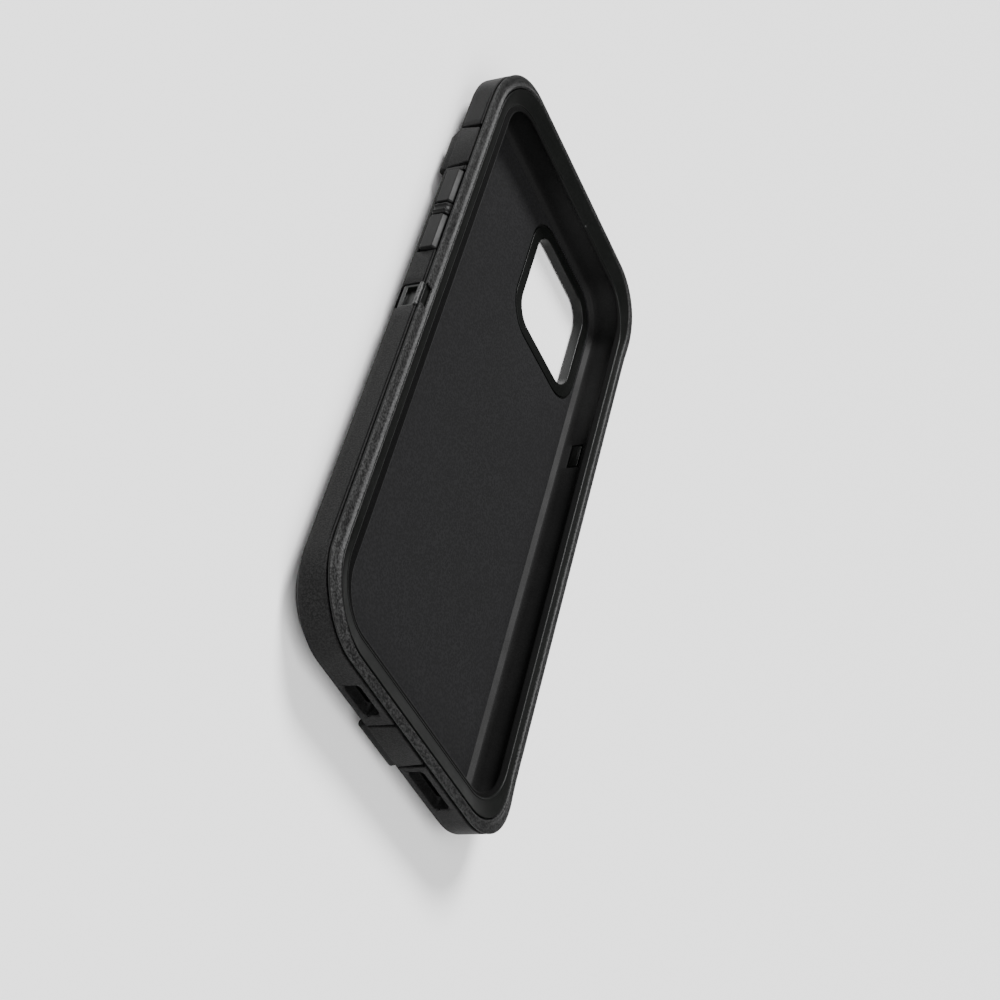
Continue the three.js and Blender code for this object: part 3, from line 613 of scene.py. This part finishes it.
FLANGE_TOP, FLANGE_BOTTOM, FLANGE_OUT = GLASS - 0.6, GLASS - 1.0, 5.6
SKIRT_IN, SKIRT_OUT = 1.6, 2.6
SKIRT_PORT_HEAD = 10.1              # top of the port's way through the skirt
SKIRT_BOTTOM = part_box("front_frame")[0].z / MM
LEDGE = GLASS - 0.6
LIP_SIDE, LIP_END, LIP_CORNER = -0.05, -1.25, 12.35     # outline of the polished lip, painted darker as shade
frame_top = eased([
    (-2.2, -1.95, 10.2, GLASS + 0.17, 0, 0),
    (-1.9, -1.7, 10.5, GLASS + 0.2, 0, 0.12),
    (LIP_SIDE, LIP_END, LIP_CORNER, GLASS + 0.24, 0, 0),
    (0.18, -1.05, 12.58, GLASS + 0.24, 0, 0),
    (0.4, -0.85, 12.8, GLASS + 0.46, 0, 0.1),
    (0.65, -0.65, 13.05, GLASS + 0.35, 0.0, 0.03),
    (1.0, 0.75, 13.4, GLASS + 0.35, 0.32, 0),
    (2.5, 3.55, 14.9, GLASS + 0.35, 1, 0.22),
    (2.5, 3.55, 14.9, FLANGE_TOP, 1, 0.1),
    (FLANGE_OUT, FLANGE_OUT, 16.1, FLANGE_TOP, 1, 0.1),
    (FLANGE_OUT, FLANGE_OUT, 16.1, FLANGE_BOTTOM, 1, 0.1),
    (SKIRT_OUT + 0.1, SKIRT_OUT + 0.1, 15.1, FLANGE_BOTTOM, 1, 0),
])
under_side = np.clip(frame_top[:, 0], -2.2, 0.3)
under = np.stack([
    under_side, np.clip(frame_top[:, 1], -1.95, 0.3), PHONE_CORNER + under_side,
    0 * under_side + GLASS + 0.05, 0 * under_side,
], axis=1)
on_flange = np.arange(len(frame_top)) > np.argmax(frame_top[:, 3] < GLASS)
under[on_flange] = [0.3, 0.3, 12.7, LEDGE, 0]
under[-3:] = [SKIRT_IN, SKIRT_IN, 14.0, LEDGE, 0]
high_cut = 8.9 * ones
for where, cut, (low, high) in [*inner_cuts, (BOTTOM, PORT_WAY, (PORT_FOOT, SKIRT_PORT_HEAD))]:
    high_cut = np.where(at(where, (cut[0] - EASE, cut[1] + EASE)), high, high_cut)
skirt = np.stack([
    9.9 + RISE, high_cut + EASE, high_cut, high_cut * 0.5 + SKIRT_BOTTOM * 0.5,
    SKIRT_BOTTOM + 0.15 + 0 * ones, SKIRT_BOTTOM + 0 * ones,
])
skirt_in = np.minimum(skirt, LEDGE - 0.05)
frame_out = np.concatenate([rings(frame_top), upright(SKIRT_OUT, 15.0, skirt)])
frame_in = np.concatenate([rings(under), upright(SKIRT_IN, 14.0, skirt_in)])
ear_rows = (frame_top[:, 1] > -1.2) & (frame_top[:, 1] < -0.6) & (frame_top[:, 3] > GLASS)
ear = at(TOP, EAR_CUT)
for row in np.flatnonzero(ear_rows):
    frame_out[row, ear, 2] = GLASS + 0.12
cuts = np.zeros((len(frame_out) - 1, around), bool)
for where, cut, _ in [*inner_cuts, port_cut]:
    cuts[len(frame_top) + 2:] |= within(where, cut)
bezel = piece(
    "front_bezel", "front", *shell(frame_out, frame_in, cuts, ease=0.06), satin_pc, "hard_black",
    ["front_frame"],
)

# The lip inside the ridge comes off a mirror-polished face of the tool, so it is glossier; its colour
# is painted blacker than the band's, as painted shade.
polished_shaded_pc = moulded(
    "polycarbonate_polished_painted_shade", 0.8, 0.001, "#030303", "#060606", 0.16, Specular_IOR_Level=0.3,
)
bezel.data.materials.append(polished_shaded_pc)
centres = np.empty(3 * len(bezel.data.polygons))
bezel.data.polygons.foreach_get("center", centres)
centres = centres.reshape(-1, 3) / MM
beyond = np.abs(centres[:, :2]) - (
    SIDE + LIP_SIDE - LIP_CORNER, END + LIP_END - LIP_CORNER,
)
outside = np.hypot(*np.clip(beyond, 0, None).T) + np.minimum(beyond.max(axis=1), 0) - LIP_CORNER
on_lip = (outside < 0) & (centres[:, 2] > GLASS - 0.05)
bezel.data.polygons.foreach_set("material_index", on_lip.astype(np.int32))
TOOTH_HALF, TOOTH_LEVELS = 2.3, (6.65, 7.85)
for side_name, where in (("left", LEFT), ("right", RIGHT)):
    root = (-TOOTH_HALF, TOOTH_HALF, *TOOTH_LEVELS, 0.15)
    piece(
        f"snap_tooth_{side_name}", "front",
        *block(where, [
            (*root, SKIRT_OUT, 0), (*root, 3.2, 0.1), (-2.1, 2.1, 7.3, 7.75, 0.15, LUG_OUT, 0),
        ]),
        satin_pc, "hard_black",
    )


# ---------------------------------------------------------------- soft rim
# The soft bead around the front, moulded onto the frame: a rounded crest next to the hard
# band, then a wide grip face that falls to a soft shoulder. It is cut over the left latch.

# The same elastomer with a coarse leather-like grain, about half a millimetre between folds.
# Its grain is painted near black in the hollows and grey on the high spots: painted shade and
# painted highlight.
grip_tpe = moulded(
    "TPE_coarse_grain", 0.42, 0.08, "#030303", "#303030", 0.54, pits=0.2, Specular_IOR_Level=0.25,
)

RIM_BOTTOM = GLASS - 0.35
CREST_FOOT = 3.9                    # where the crest meets the grip face
rim_top = eased([
    (2.75, 3.8, 15.15, GLASS + 0.05, 1, 0),
    (2.9, 4.0, 15.25, GLASS + 0.5, 0.9, 0.2),
    (3.2, 4.35, 15.5, GLASS + 0.68, 0.81, 0.1),
    (CREST_FOOT, 4.95, 15.8, GLASS + 0.14, 0.95, 0.3),
    (5.5, 5.6, 16.05, GLASS + 0.08, 1, 0.5),
    (6.0, 6.0, 16.5, GLASS - 0.14, 1, 0.12),
    (6.0, 6.0, 16.5, RIM_BOTTOM + 0.08, 1, 0),
])
rim_under = rim_top.copy()
rim_under[:, 3] = RIM_BOTTOM
cuts = np.zeros((len(rim_top) - 1, around), bool)
notch_row = np.flatnonzero(np.isclose(rim_top[:, 0], CREST_FOOT))[0]
cuts[notch_row:] = within(LEFT, NOTCH_CUT)
piece(
    "soft_rim", "front", *shell(rings(rim_top), rings(rim_under), cuts, ease=0.08),
    grip_tpe, "soft_grained", ["rim_bumper"],
)


# ---------------------------------------------------------------- side latches
# Spring levers of hard plastic on a thin neck of the tray, one at each side. Each is a plate
# with a sunk face and a round grip bar at its head, which the finger pulls out over the flange.

# Polycarbonate with a coarse spark-eroded grain, which keeps a fingertip from slipping. Its
# high spots are painted pale and its hollows dark: painted highlight and shade of the grain.
grained_pc = moulded(
    "polycarbonate_grained", 0.42, 0.06, "#0a0a0a", "#3a3a3a", 0.5, Specular_IOR_Level=0.3,
)

LATCH_HALF, LATCH_FOOT, LATCH_HEAD = 3.5, 4.85, 9.6
LATCH_IN, LATCH_OUT = 4.15, 5.65
BAR_UP, BAR_OUT = 9.4, 5.8          # middle of the grip bar
BAR_HALF_UP, BAR_HALF_OUT = 0.55, 0.5
for side_name, where in (("left", LEFT), ("right", RIGHT)):
    full = (-LATCH_HALF, LATCH_HALF, LATCH_FOOT, LATCH_HEAD, 0.35)
    hollow = (-2.8, 2.8, 5.9, 8.35, 0.3)
    lever = [
        (*full, LATCH_IN, 0), (*full, LATCH_OUT, 0.2), (*hollow, LATCH_OUT, 0.15),
        (*hollow, LATCH_OUT - 1.0, 0),
    ]
    made = piece(
        f"latch_lever_{side_name}", f"latch_{side_name}", *block(where, lever),
        satin_pc, "hard_black", [f"side_latch_{side_name}"],
    )
    ends = np.array([-1, -0.985, -0.94, 0.94, 0.985, 1]) * (LATCH_HALF - 0.1)
    size = np.array([0.72, 0.93, 1, 1, 0.93, 0.72])[:, None]
    turns = np.linspace(0, 2 * np.pi, 20, endpoint=False)
    bar = stand(
        where, ends[:, None], BAR_UP + BAR_HALF_UP * size * np.sin(turns),
        BAR_OUT + BAR_HALF_OUT * size * np.cos(turns),
    )
    piece(
        f"latch_bar_{side_name}", f"latch_{side_name}", *loft(bar), grained_pc, "hard_black",
    )


# ---------------------------------------------------------------- hinged covers
# Two flaps of the sleeve's elastomer, over the ring switch and over the charging port. Each
# bends on a thick bead at the foot of the wall; its ends slant, so its slits open upwards.

BEAD_OUT, BEAD_UP, BEAD_RADIUS = 4.65, 3.15, 1.05
CHAMFER_OUT, CHAMFER_UP = 5.172, 3.75    # a point of the sleeve's back chamfer
CHAMFER_SLOPE = 0.7246              # its rise for each millimetre out
CHAMFER_LENGTH = 1.235              # its length for each millimetre out


def flap(where, low, high, top, taper, bead_taper):
    """A cover's section (out, up) carried from low to high along its wall. Its ends lean in by
    taper towards the top edge, and the bead's far end by bead_taper for each millimetre that it
    stands out of the back chamfer, up to one."""
    swing = np.radians(np.linspace(155, 385, 15))
    bead = np.stack([
        BEAD_OUT + BEAD_RADIUS * np.cos(swing), BEAD_UP + BEAD_RADIUS * np.sin(swing), 0 * swing,
    ], axis=1)
    section = eased([
        (3.15, 4.25, 0.2), *bead, (5.5, 4.3, 0.1), (6.0, 4.58, 0.16),
        (6.0, top, 0.3), (3.15, top, 0.15),
    ])
    out, up = section[:, 0], section[:, 1]
    on, back = np.roll(section, -1, axis=0), np.roll(section, 1, axis=0)
    along = on - back
    normal = np.stack([along[:, 1], -along[:, 0]], axis=1)
    normal /= np.linalg.norm(normal, axis=1, keepdims=True)
    proud = np.clip((CHAMFER_SLOPE * (out - CHAMFER_OUT) + CHAMFER_UP - up) / CHAMFER_LENGTH, 0, 1)
    lean = taper * np.clip((up - 4.3) / (top - 4.3), 0, 1)
    start, stop = low + lean, high - lean - bead_taper * proud
    rows = []
    for depth, shift in ((0.2, 0.0), (0.06, 0.06), (0.0, 0.2)):
        rows.append((start + shift, out - depth * normal[:, 0], up - depth * normal[:, 1]))
    for depth, shift in ((0.0, 0.2), (0.06, 0.06), (0.2, 0.0)):
        rows.append((stop - shift, out - depth * normal[:, 0], up - depth * normal[:, 1]))
    return loft(np.stack([stand(where, a, z, o) for a, o, z in rows]))


mute_low, mute_high = span_of("mute_switch_cover", 1, 0)
piece(
    "mute_flap", "mute_cover", *flap(LEFT, mute_low, mute_high, SLEEVE_TOP - 0.1, 1.0, 2.2),
    soft_tpe, "soft_black", ["mute_switch_cover"],
)
port_low, port_high = span_of("port_cover", 0, 0)
piece(
    "port_flap_plate", "port_flap",
    *flap(BOTTOM, port_low, port_high, SLEEVE_TOP + END_RISE - 0.1, 0.6, 0.0),
    soft_tpe, "soft_black", ["port_cover"],
)
plug = (-4.2, 4.2, 5.75, 8.35)
piece(
    "port_plug", "port_flap",
    *block(BOTTOM, [
        (-3.7, 3.7, 6.25, 7.85, 0.79, 0.4, 0), (*plug, 1.29, 0.4, 0.3), (*plug, 1.29, 3.15, 0),
    ], corners=8),
    soft_tpe, "soft_black",
)


# ---------------------------------------------------------------- keys and plungers
# Soft key caps, loose in their slots in the wall, with a hard plunger behind each that
# reaches towards the phone's own key. Their front side is sloped. The two volume keys
# have a ribbed block between them.

# The same elastomer from a polished part of the tool, so that the keys are smooth and satin.
key_tpe = moulded(
    "TPE_satin", 0.3, 0.01, "#070707", "#0e0e0e", 0.42, Specular_IOR_Level=0.1,
)

KEY_IN = 3.35


def key_cap(node, where, body, name):
    """A flat-faced cap through the CAD key's outline, with a wide slope towards the front."""
    low_a, high_a = span_of(node, 1, 0)
    low_b, high_b = span_of(node, 2, 0)
    face_out = max(abs(v) for v in span_of(node, 0, 0)) - SIDE
    full = (low_a, high_a, low_b, high_b, 0.55)
    slope = (low_a + 0.22, high_a - 0.22, low_b + 0.3, high_b - 0.8, 0.4)
    flat = (low_a + 0.6, high_a - 0.6, low_b + 0.7, high_b - 1.2, 0.3)
    piece(name, body, *block(where, [
        (*full, KEY_IN, 0), (*full, 5.75, 0.2), (*slope, face_out, 0.14), (*flat, face_out, 0),
    ]), key_tpe, "soft_black", [node])


key_cap("volume_up_button", LEFT, "volume_up", "volume_up_cap")
key_cap("volume_down_button", LEFT, "volume_down", "volume_down_cap")
key_cap("power_button", RIGHT, "power", "power_cap")

for name, where, cut in zip(PLUNGERS, (LEFT, LEFT, RIGHT), PLUNGER_CUTS):
    low_a, high_a = cut[0] + PLUNGER_GAP, cut[1] - PLUNGER_GAP
    body_of_pin = (low_a, high_a, 5.75, 8.35, 0.4)
    tip = (low_a + 0.15, high_a - 0.15, 5.9, 8.2, 0.3)
    piece(f"{name}_pin", name, *block(where, [
        (*tip, 0.3, 0), (*body_of_pin, 0.45, 0.1), (*body_of_pin, KEY_IN - FIT, 0),
    ]), satin_pc, "hard_black", [f"{name}_plunger"])

low_a, high_a = span_of("volume_bridge", 1, 0)
low_b, high_b = span_of("volume_bridge", 2, 0)
bridge_out = -span_of("volume_bridge", 0, 0)[0] - SIDE
across = np.linspace(low_a, high_a, 41)
ribs = sum(np.exp(-((across - rib) / 0.28) ** 2) for rib in (low_a + 1.0, high_a - 1.0))
shoulder = 1 - np.clip(1 - np.minimum(across - low_a, high_a - across) / 0.35, 0, 1) ** 2 * 0.35
rise = np.array([0, 0.12, 0.3, 0.6, 3.2, 3.35, 3.8, 4.2])
reach = np.array([0.72, 0.9, 0.98, 1, 1, 0.985, 0.86, 0.7])
level = (bridge_out - 0.35 + 0.35 * ribs) * shoulder
loops = []
for up, part in zip(low_b + rise * (high_b - low_b) / rise[-1], reach):
    top_line = stand(LEFT, across, up, KEY_IN + (level - KEY_IN) * part)
    foot = stand(LEFT, np.array([high_a, low_a]), up, KEY_IN)
    loops.append(np.concatenate([top_line, foot]))
piece(
    "volume_rib_block", "case", *loft(np.stack(loops)), key_tpe, "soft_black", ["volume_bridge"],
)


# ---------------------------------------------------------------- floor, light and camera
# A plain pale floor that runs far past the case, and soft light from all round.

FLOOR_HALF = 6000
turns = np.linspace(0, 2 * np.pi, 64, endpoint=False)
disc = np.stack([FLOOR_HALF * np.cos(turns), FLOOR_HALF * np.sin(turns), 0 * turns], axis=1)
ground = bpy.data.meshes.new("floor")
ground.from_pydata((disc * MM).tolist(), [], [list(range(len(turns)))])
floor = bpy.data.objects.new("floor", ground)
bpy.context.scene.collection.objects.link(floor)
floor.location.z = -0.0002
paper = bpy.data.materials.new("matt_white_paper")
paper.use_nodes = True
paper.node_tree.nodes["Principled BSDF"].inputs["Base Color"].default_value = linear("#f6f6f6")
paper.node_tree.nodes["Principled BSDF"].inputs["Roughness"].default_value = 0.95
paper.node_tree.nodes["Principled BSDF"].inputs["Specular IOR Level"].default_value = 0.1
ground.materials.append(paper)

# Two far soft sources light the floor evenly: the key stands beyond the left side and draws a
# highlight along each edge that slopes to the front there, and the fill comes from the other
# end. The room is dim above a pale horizon.
def far_light(name, towards, strength, spread_angle):
    """A soft source a long way off, in a direction from the case, with its spread in radians."""
    lamp = bpy.data.lights.new(name, "SUN")
    lamp.energy, lamp.angle = strength, spread_angle
    made = bpy.data.objects.new(name, lamp)
    bpy.context.scene.collection.objects.link(made)
    made.rotation_mode = "QUATERNION"
    made.rotation_quaternion = Vector(towards).to_track_quat("Z", "Y")


far_light("key", (-0.45, 0.64, 0.64), 6.0, 0.35)
far_light("fill", (-0.3, -0.5, 0.8), 4.5, 1.3)

world = bpy.data.worlds.new("studio")
bpy.context.scene.world = world
world.use_nodes = True
tree = world.node_tree
spot = add(tree, "ShaderNodeTexCoord").outputs["Generated"]
height = add(tree, "ShaderNodeSeparateXYZ", {"Vector": spot}).outputs["Z"]
fade = add(tree, "ShaderNodeMapRange", {
    "Value": height, "From Min": 0.05, "From Max": 0.35, "To Min": 0.6, "To Max": 0.12,
})
tree.links.new(fade.outputs["Result"], tree.nodes["Background"].inputs["Strength"])
tree.nodes["Background"].inputs["Color"].default_value = (1, 1, 1, 1)

lens = bpy.data.cameras.new("camera")
FOCAL_LENGTH, SENSOR_WIDTH, LENS_SHIFT = 69.158, 36.0, -0.0657
lens.lens, lens.sensor_width, lens.shift_y = FOCAL_LENGTH, SENSOR_WIDTH, LENS_SHIFT
lens.clip_start, lens.clip_end = 0.01, 50.0
camera = bpy.data.objects.new("camera", lens)
bpy.context.scene.collection.objects.link(camera)
# The camera's directions, and its place in millimetres.
right, down, ahead = (0.3864, 0.2235, 0.8948), (0.6683, -0.7365, -0.1047), (0.6356, 0.6385, -0.4339)
spot = (-281.39, -283.47, 202.04)
axes = np.array([right, np.negative(down), np.negative(ahead)]).T
camera.matrix_world = Matrix([[*row, v * MM] for row, v in zip(axes, spot)] + [[0, 0, 0, 1]])
bpy.context.scene.camera = camera
